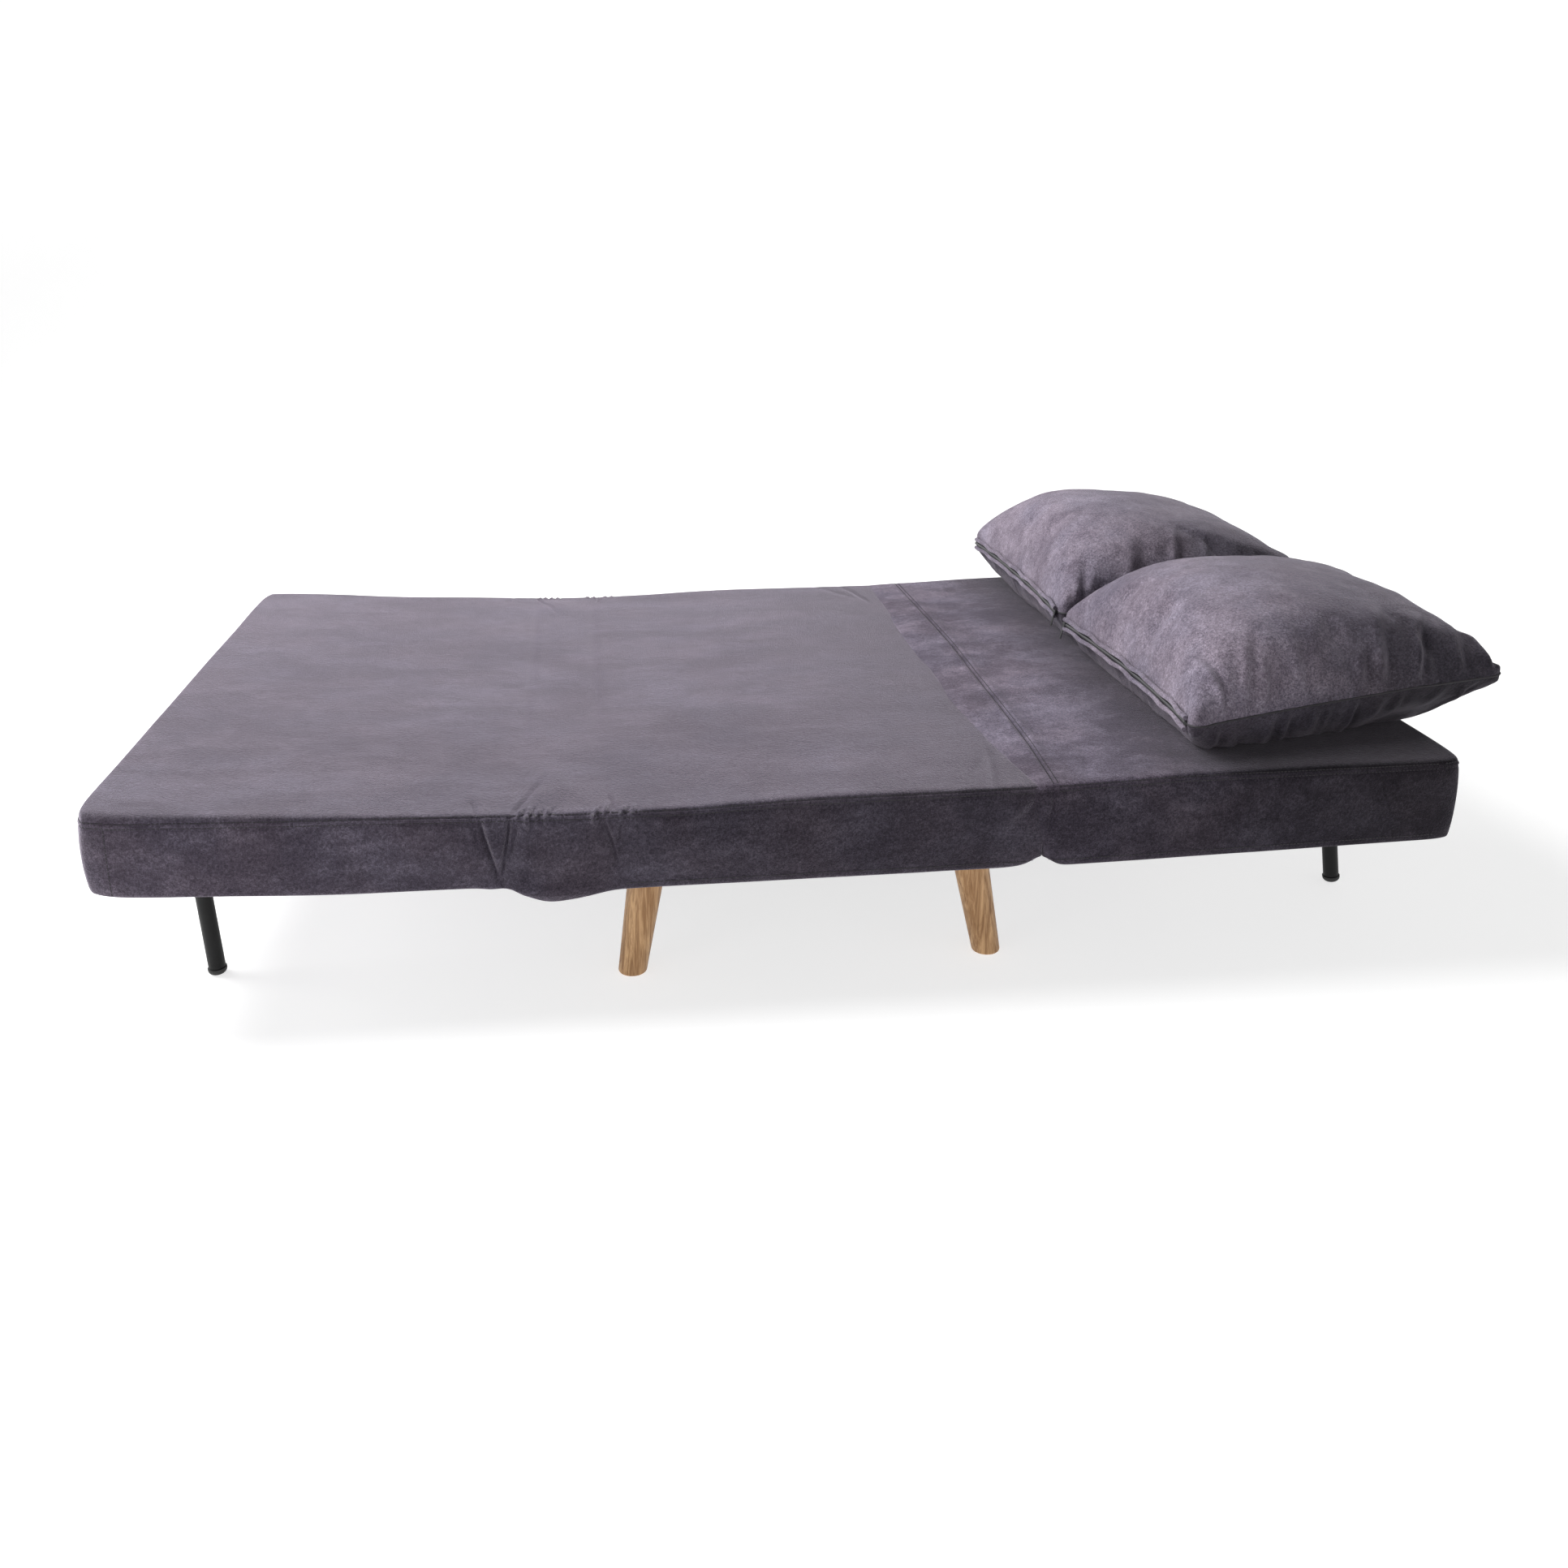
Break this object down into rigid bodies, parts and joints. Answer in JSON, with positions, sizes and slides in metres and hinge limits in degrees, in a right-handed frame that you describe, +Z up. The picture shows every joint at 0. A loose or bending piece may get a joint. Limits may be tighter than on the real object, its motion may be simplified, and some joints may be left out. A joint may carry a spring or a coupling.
{
  "type": "sofa bed",
  "caption": "Fold-out velvet sofa bed laid flat, with a foot section that folds over the seat, a reclining back section, folding tube legs, wooden legs and loose pillows.",
  "frame": {"origin": "middle of the overall box, on the floor, with the sofa bed laid flat", "axes": "+X towards the head end where the pillows lie, +Y across the width, +Z up"},
  "size_m": [2.021, 1.2, 0.5222],
  "materials": {
    "velvet": "matte",
    "pillow_velvet": "matte",
    "dust_cloth": "matte",
    "foam": "matte",
    "plywood": "satin",
    "leg_wood": "satin",
    "leg_steel": "satin",
    "frame_steel": "satin",
    "zinc_steel": "satin",
    "cap_plastic": "matte",
    "zip": "satin"
  },
  "bodies": {
    "seat": {"seat_rail_near": "frame_steel", "seat_rail_far": "frame_steel", "seat_rail_front": "frame_steel", "seat_rail_rear": "frame_steel", "seat_rail_cross_front": "frame_steel", "seat_rail_cross_rear": "frame_steel", "seat_slats": "plywood", "seat_foam": "foam", "seat_cover": "velvet", "seat_dust_cover": "dust_cloth", "seat_leg_front_near": "leg_wood", "seat_leg_front_far": "leg_wood", "seat_leg_rear_near": "leg_wood", "seat_leg_rear_far": "leg_wood", "seat_leg_plates": "zinc_steel", "seat_fold_arm_near": "zinc_steel", "seat_fold_arm_far": "zinc_steel", "fold_pin_near": "zinc_steel", "fold_pin_far": "zinc_steel", "seat_recline_plate_near": "zinc_steel", "seat_recline_plate_far": "zinc_steel", "recline_bolt_near": "zinc_steel", "recline_bolt_far": "zinc_steel"},
    "foot": {"foot_rail_near": "frame_steel", "foot_rail_far": "frame_steel", "foot_rail_end": "frame_steel", "foot_rail_inner": "frame_steel", "foot_slats": "plywood", "foot_foam": "foam", "foot_cover": "velvet", "foot_fold_arm_near": "zinc_steel", "foot_fold_arm_far": "zinc_steel", "foot_leg_bracket_near": "zinc_steel", "foot_leg_bracket_far": "zinc_steel"},
    "foot_leg": {"foot_leg_tube": "leg_steel", "foot_leg_post_near": "leg_steel", "foot_leg_post_far": "leg_steel", "foot_leg_cap_near": "cap_plastic", "foot_leg_cap_far": "cap_plastic"},
    "back": {"back_rail_near": "frame_steel", "back_rail_far": "frame_steel", "back_rail_inner": "frame_steel", "back_rail_end": "frame_steel", "back_slats": "plywood", "back_foam": "foam", "back_cover": "velvet", "back_recline_plate_near": "zinc_steel", "back_recline_plate_far": "zinc_steel", "back_leg_bracket_near": "zinc_steel", "back_leg_bracket_far": "zinc_steel"},
    "back_leg": {"back_leg_tube": "leg_steel", "back_leg_post_near": "leg_steel", "back_leg_post_far": "leg_steel", "back_leg_cap_near": "cap_plastic", "back_leg_cap_far": "cap_plastic"},
    "pillow_near": {"pillow_near": "pillow_velvet", "pillow_near_zip": "zip"},
    "pillow_far": {"pillow_far": "pillow_velvet", "pillow_far_zip": "zip"}
  },
  "joints": [
    {"name": "foot_fold", "type": "hinge", "parent": "seat", "child": "foot", "pos_m": [-0.41088, 0, 0.285], "axis": [0, 1, 0], "range_deg": [0, 175]},
    {"name": "back_recline", "type": "hinge", "parent": "seat", "child": "back", "pos_m": [0.27712, 0, 0.262], "axis": [0, -1, 0], "range_deg": [0, 80]},
    {"name": "foot_leg_fold", "type": "hinge", "parent": "foot", "child": "foot_leg", "pos_m": [-0.91135, 0, 0.21419], "axis": [0, -1, 0], "range_deg": [0, 84.7]},
    {"name": "back_leg_fold", "type": "hinge", "parent": "back", "child": "back_leg", "pos_m": [0.82924, 0, 0.19516], "axis": [0, 1, 0], "range_deg": [0, 98.1]},
    {"name": "pillow_near_lift", "type": "slide", "parent": "back", "child": "pillow_near", "axis": [-0.0157, 0, 0.9999], "range_m": [0, 0.25]},
    {"name": "pillow_far_lift", "type": "slide", "parent": "back", "child": "pillow_far", "axis": [-0.0157, 0, 0.9999], "range_m": [0, 0.25]}
  ]
}
